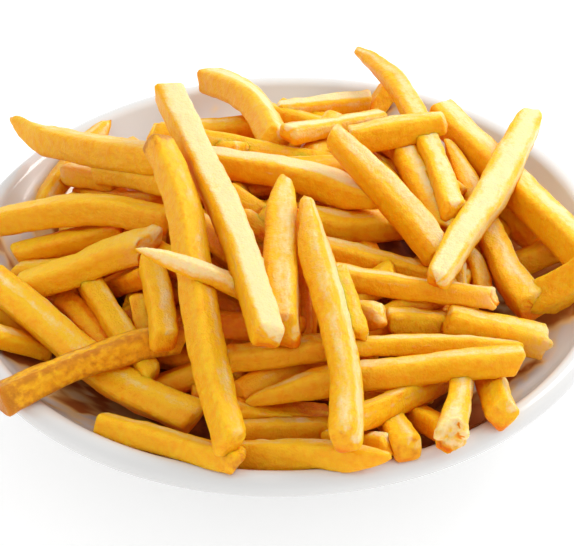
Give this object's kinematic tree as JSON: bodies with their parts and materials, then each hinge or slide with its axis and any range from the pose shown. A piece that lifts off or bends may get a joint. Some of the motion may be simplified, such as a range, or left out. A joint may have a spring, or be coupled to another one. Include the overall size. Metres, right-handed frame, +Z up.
{
  "type": "french fries portion",
  "caption": "Loose heap of straight-cut french fries piled above the rolled lip of a round white porcelain bowl that rests on a flat base.",
  "frame": {"origin": "centre of the bowl's flat underside, on the surface that the bowl stands on", "axes": "+Z up along the bowl's axis, -Y towards the viewer's side that the picture shows, +X to the viewer's right"},
  "size_m": [0.21, 0.21, 0.0843],
  "materials": {
    "porcelain": "white glazed porcelain, glossy",
    "potato": "fried potato, golden with paler faces, slightly oily"
  },
  "bodies": {
    "root": {"bowl": "porcelain", "fries": "potato"}
  },
  "joints": []
}
